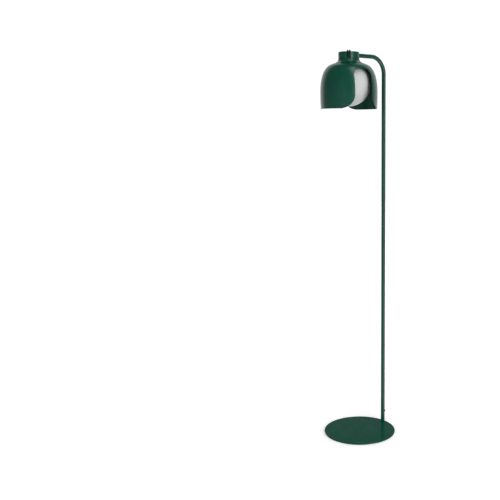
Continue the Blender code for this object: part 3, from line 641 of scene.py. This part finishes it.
def head_cap():
    edge = 0.0020
    burr = 0.0002
    inner = cap_radius - cap_wall
    ceiling = cap_high.z - cap_wall
    outline = [(stem_hole, ceiling)]
    outline += arc((inner - edge + cap_wall, ceiling - edge + cap_wall), edge - cap_wall, 90, 0, 4)
    outline += [(inner, cap_low.z + burr), (inner + burr, cap_low.z)]
    outline += [(cap_radius - burr, cap_low.z), (cap_radius, cap_low.z + burr)]
    outline += arc((cap_radius - edge, cap_high.z - edge), edge, 0, 90, 8)
    outline += [(stem_hole, cap_high.z)]
    cap = lathe("cap", outline, 192, head_axis)
    arm_hole = drill(96, tube_radius + FIT, 0.05, head_axis.x + cap_radius, arm_height)
    height = 0.0222
    low = (cap_low.z + cap_high.z - height) / 2
    slots = slab("slots", round_slot(0.014, low, low + height, 0.002), 0.1, head_axis, slot_turn)
    cut(cap, arm_hole, slots)
    ease(cap, 0.00018, 50)
    return settle(cap)


def hub():
    low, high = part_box("hub")
    radius = (high.x - low.x) / 2
    edge = 0.0010
    chamfer = 0.0003
    ceiling = high.z - 0.0015
    outline = [(stem_hole, ceiling), (turning_bore, ceiling), (turning_bore, low.z)]
    outline += [(radius - chamfer, low.z), (radius, low.z + chamfer)]
    outline += arc((radius - edge, high.z - edge), edge, 0, 90, 4)
    outline += [(stem_hole, high.z)]
    made = lathe("hub_cup", outline, 128, head_axis)
    nipple_hole = drill(48, 0.0050 + FIT, 0.04, head_axis.x + radius, arm_height)
    return settle(cut(made, nipple_hole))


finish_piece(head_cap(), "stand", paint, "green_paint", "head_cap")
finish_piece(hub(), "stand", paint, "green_paint", "hub")
dress(zinc, "zinc", "stem", "stem_nut", "holder_nut")


# ------------------------------------------------------- Knob and washer
# A small round knob on the stem, with a fluted side and a slot for a coin, clamps the cap. Under it
# lies a plain zinc plated washer.


def clamp_knob():
    """The side is fluted by drawing every second column of its corners in."""
    low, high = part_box("clamp_knob")
    radius = (high.x - low.x) / 2
    edge = 0.0008
    slot_depth = 0.0034
    blind = high.z - slot_depth - 0.0005
    outline = [(0, blind), (stem_hole, blind), (stem_hole, low.z), (radius - edge, low.z)]
    outline += [(radius, low.z + edge), (radius, high.z - edge)]
    outline += arc((radius - edge, high.z - edge), edge, 30, 90, 4) + [(0, high.z)]
    columns = 72
    drawn_in = 0.955
    made = lathe("knob", outline, columns)
    for corner in made.data.vertices:
        column = round(math.atan2(corner.co.y, corner.co.x) / math.tau * columns)
        if column % 2 and math.hypot(corner.co.x, corner.co.y) > radius - 0.0001:
            corner.co.x *= drawn_in
            corner.co.y *= drawn_in
    slot = round_slot(0.0032, high.z - slot_depth, high.z + slot_depth, 0.0004)
    cut(made, slab("knob_slot", slot, 0.03, turn=slot_turn))
    ease(made, 0.0001, 50)
    return settle(made, head_axis)


def flat_ring(name, node, bore, facets=96, edge=0.0002):
    """A flat ring with eased edges, at a CAD ring's place."""
    low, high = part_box(node)
    radius = (high.x - low.x) / 2
    outline = [(bore + edge, low.z), (radius - edge, low.z), (radius, low.z + edge)]
    outline += [(radius, high.z - edge), (radius - edge, high.z), (bore + edge, high.z)]
    outline += [(bore, high.z - edge), (bore, low.z + edge)]
    return lathe(name, outline, facets, head_axis)


finish_piece(clamp_knob(), "clamp_knob", paint, "green_paint", "clamp_knob")
finish_piece(flat_ring("washer", "knob_washer", stem_hole), "stand", zinc, "zinc", "knob_washer")


# ---------------------------------------------------------------- Swivel
# The shade hangs on a steel bush and turns between a brown fibre washer and a wave washer. A ring nut
# with four spanner notches sets how hard it turns.

fibre = matt_rubber("brown_fibre", (0.13, 0.065, 0.030), 700.0)


def wave_washer():
    """A spring steel ring pressed into three shallow waves."""
    made = flat_ring("wave_spring", "wave_washer", turning_bore, 144)
    low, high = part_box("wave_washer")
    wave = 0.0003
    waves = 3
    thinner = 0.45
    centre = (low.z + high.z) / 2
    for corner in made.data.vertices:
        angle = math.atan2(corner.co.y, corner.co.x - head_axis.x)
        height = centre + (corner.co.z - centre) * thinner
        corner.co.z = height + wave * math.sin(waves * angle)
    return made


def ring_nut():
    low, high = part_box("swivel_ring_nut")
    made = flat_ring("ring_nut", "swivel_ring_nut", turning_bore, 120, 0.0003)
    radius = (high.x - low.x) / 2
    notches = []
    for index in range(4):
        angle = math.radians(45 + 90 * index)
        bpy.ops.mesh.primitive_cube_add(
            size=1,
            location=(
                head_axis.x + radius * math.cos(angle), radius * math.sin(angle), (low.z + high.z) / 2
            ),
            rotation=(0, 0, angle),
            scale=(0.0044, 0.0040, 0.02),
        )
        notches.append(bpy.context.object)
    return settle(cut(made, *notches))


fibre_ring = flat_ring("fibre_ring", "friction_washer", turning_bore)
finish_piece(fibre_ring, "stand", fibre, "fibre", "friction_washer")
finish_piece(wave_washer(), "stand", zinc, "zinc", "wave_washer")
finish_piece(ring_nut(), "stand", zinc, "zinc", "swivel_ring_nut")
dress(zinc, "zinc", "neck_bush")


# ----------------------------------------------------------------- Shade
# Spun steel, 1.2 mm thick, powder coated inside and out. A punch cuts both windows straight
# through, and their lower corners run out into the round corners of the two petals.

shade_low, shade_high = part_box("shade")
window_turn = math.radians(-8.6)
side_bulge = 0.0001  # how far the smooth side swells past its widest point
shade_radius = head_axis.x - shade_low.x - side_bulge
shade_rim = shade_low.z
shade_height = shade_high.z - shade_low.z
neck_radius = 0.0396
shade_wall = 0.0012
SHADE_SIDE = (
    (0.973, 0.000),
    (0.996, 0.160),
    (1.000, 0.330),
    (0.985, 0.470),
    (0.935, 0.600),
    (0.845, 0.715),
    (0.720, 0.802),
    (0.560, 0.867),
    (0.365, 0.905),
    (0.180, 0.929),
    (0.060, 0.957),
    (0.012, 0.985),
)


def shade_side(steps):
    """A smooth line through the side's points, from the rim up, as (radius, height)."""
    span = shade_radius - neck_radius
    ends = [Vector((neck_radius + span * out, shade_rim + shade_height * up)) for out, up in SHADE_SIDE]
    ends = [2 * ends[0] - ends[1], *ends, 2 * ends[-1] - ends[-2]]
    line = []
    for before, start, end, after in zip(ends, ends[1:], ends[2:], ends[3:]):
        for step in range(steps):
            t = step / steps
            pull = (end - before) * t + (2 * before - 5 * start + 4 * end - after) * t**2
            line.append(start + (pull + (3 * start - before - 3 * end + after) * t**3) / 2)
    return line + [ends[-2]]


def walled(line, wall):
    """The line moved inwards by the wall's thickness."""
    moved = []
    for index, point in enumerate(line):
        along = line[min(index + 1, len(line) - 1)] - line[max(index - 1, 0)]
        inward = Vector((-along.y, along.x)).normalized()
        moved.append(point + inward * wall)
    moved[0] = line[0] + Vector((-wall, 0))
    return moved


def window_outline():
    """Both windows in one outline: round top, straight sides, and a flare at each lower corner."""
    half = 0.0372
    top_round = 0.030
    corner_round = 0.052
    drop = 0.0015
    top = shade_rim + 0.145
    flare = (half + corner_round, shade_rim + corner_round - drop)
    flare_end = 270 - math.degrees(math.acos(1 - drop / corner_round))
    right = [(half + corner_round, shade_rim - 0.03)]
    right += arc(flare, corner_round, flare_end, 180, 28)
    right += arc((half - top_round, top - top_round), top_round, 0, 90, 20)
    return right + [(-x, z) for x, z in reversed(right)]


def shade():
    outer = shade_side(6)
    inner = walled(outer, shade_wall)
    neck = outer[-1].x
    floor = shade_high.z - shade_wall
    outline = [tuple(point) for point in outer]
    outline += arc((neck - shade_wall, floor), shade_wall, 10, 90, 5)
    outline += [(turning_bore, shade_high.z), (turning_bore, floor), (neck - 2 * shade_wall, floor)]
    outline += [tuple(point) for point in reversed(inner)]
    made = lathe("petal_shade", outline, 240, head_axis)
    cut(made, slab("windows", window_outline(), 0.3, head_axis, window_turn))
    ease(made, 0.00035, 50)
    return settle(made, sharp=40)


finish_piece(shade(), "shade", paint, "green_paint", "shade")


# ----------------------------------------------------------------- Globe
# Mouth-blown opal glass, white right through, with a satin surface. It hangs from the lampholder by
# its open top, gripped by a threaded plastic ring inside.


def opal_glass():
    """White glass: faint clouds in its whiteness and a soft, even sheen."""
    recipe = Recipe(bpy.data.materials.new("opal_glass"))
    place = recipe.node("ShaderNodeTexCoord").outputs["Object"]
    clouds = recipe.node("ShaderNodeTexNoise", Vector=place, Scale=18.0, Detail=3.0)
    cloud = recipe.flow(clouds.outputs["Fac"])
    tint = recipe.node(
        "ShaderNodeValToRGB",
        {"stops": [(0.3, (0.50, 0.52, 0.51)), (0.7, (0.54, 0.56, 0.55))]},
        Fac=cloud,
    )
    shader = recipe.tree.nodes["Principled BSDF"]
    shader.inputs["IOR"].default_value = 1.5
    shader.inputs["Subsurface Weight"].default_value = 0.25
    shader.inputs["Subsurface Radius"].default_value = (0.004, 0.004, 0.004)
    recipe.feed(shader.inputs["Base Color"], tint.outputs["Color"])
    recipe.feed(shader.inputs["Roughness"], 0.30 + cloud * 0.06)
    return recipe.owner


def globe():
    low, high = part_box("globe")
    radius = (high.x - low.x) / 2
    wall = 0.0025
    centre = low.z + radius
    mouth = 0.0202
    outer_start = math.degrees(math.acos(mouth / radius))
    inner_start = math.degrees(math.acos(mouth / (radius - wall)))
    steps = 96
    outline = arc((0, centre), radius, outer_start, -90, steps)
    outline += arc((0, centre), radius - wall, -90, inner_start, steps)
    outline[steps] = (0, low.z)
    outline[steps + 1] = (0, low.z + wall)
    return lathe("opal_globe", outline, 192, head_axis)


def moulded_plastic(name, colour, roughness):
    """Thermoset moulding: even colour with a faint flow, and a fine satin grain."""
    recipe = Recipe(bpy.data.materials.new(name))
    place = recipe.node("ShaderNodeTexCoord").outputs["Object"]
    flow = recipe.node("ShaderNodeTexNoise", Vector=place, Scale=60.0, Detail=3.0, Distortion=0.6)
    grain = recipe.node("ShaderNodeTexNoise", Vector=place, Scale=2200.0, Detail=1.0)
    drift = recipe.flow(flow.outputs["Fac"])
    speck = recipe.flow(grain.outputs["Fac"])
    darker = tuple(channel * 0.93 for channel in colour)
    tint = recipe.node("ShaderNodeValToRGB", {"stops": [(0.3, darker), (0.7, colour)]}, Fac=drift)
    bump = recipe.node("ShaderNodeBump", Height=speck, Strength=0.12, Distance=0.0002)
    shader = recipe.tree.nodes["Principled BSDF"]
    recipe.feed(shader.inputs["Base Color"], tint.outputs["Color"])
    recipe.feed(shader.inputs["Roughness"], roughness + speck * 0.08)
    recipe.feed(shader.inputs["Normal"], bump.outputs["Normal"])
    return recipe.owner


opal = opal_glass()
holder_plastic = moulded_plastic("white_thermoset", (0.74, 0.74, 0.71), 0.38)
finish_piece(globe(), "stand", opal, "opal_glass", "globe")
globe_grip = flat_ring("globe_grip", "globe_ring", 0.0200, 96, 0.0005)
finish_piece(globe_grip, "stand", holder_plastic, "holder_plastic", "globe_ring")


# ------------------------------------------------- Lampholder, bulb, wiring
# Inside the globe and the hub: a white screw lampholder with brass contacts, a frosted bulb, and the
# cable that comes down the arm. None of it shows while the lamp is whole.

brass = plated_metal("brass", (0.70, 0.50, 0.20), 0.24)
black_glass = moulded_plastic("black_insulator", (0.015, 0.015, 0.020), 0.12)
sheath = matt_rubber("cable_sheath", (0.014, 0.014, 0.015), 900.0)
dress(holder_plastic, "holder_plastic", "lampholder_cap", "lampholder_body")
dress(brass, "brass", "screw_shell", "centre_contact", "live_screw", "neutral_screw")
dress(brass, "brass", "bulb_contact", "bulb_cap", "live_core", "neutral_core")
dress(black_glass, "insulator", "bulb_insulator")
dress(opal, "opal_glass", "bulb_glass")
dress(sheath, "cable_sheath", "inner_cable")
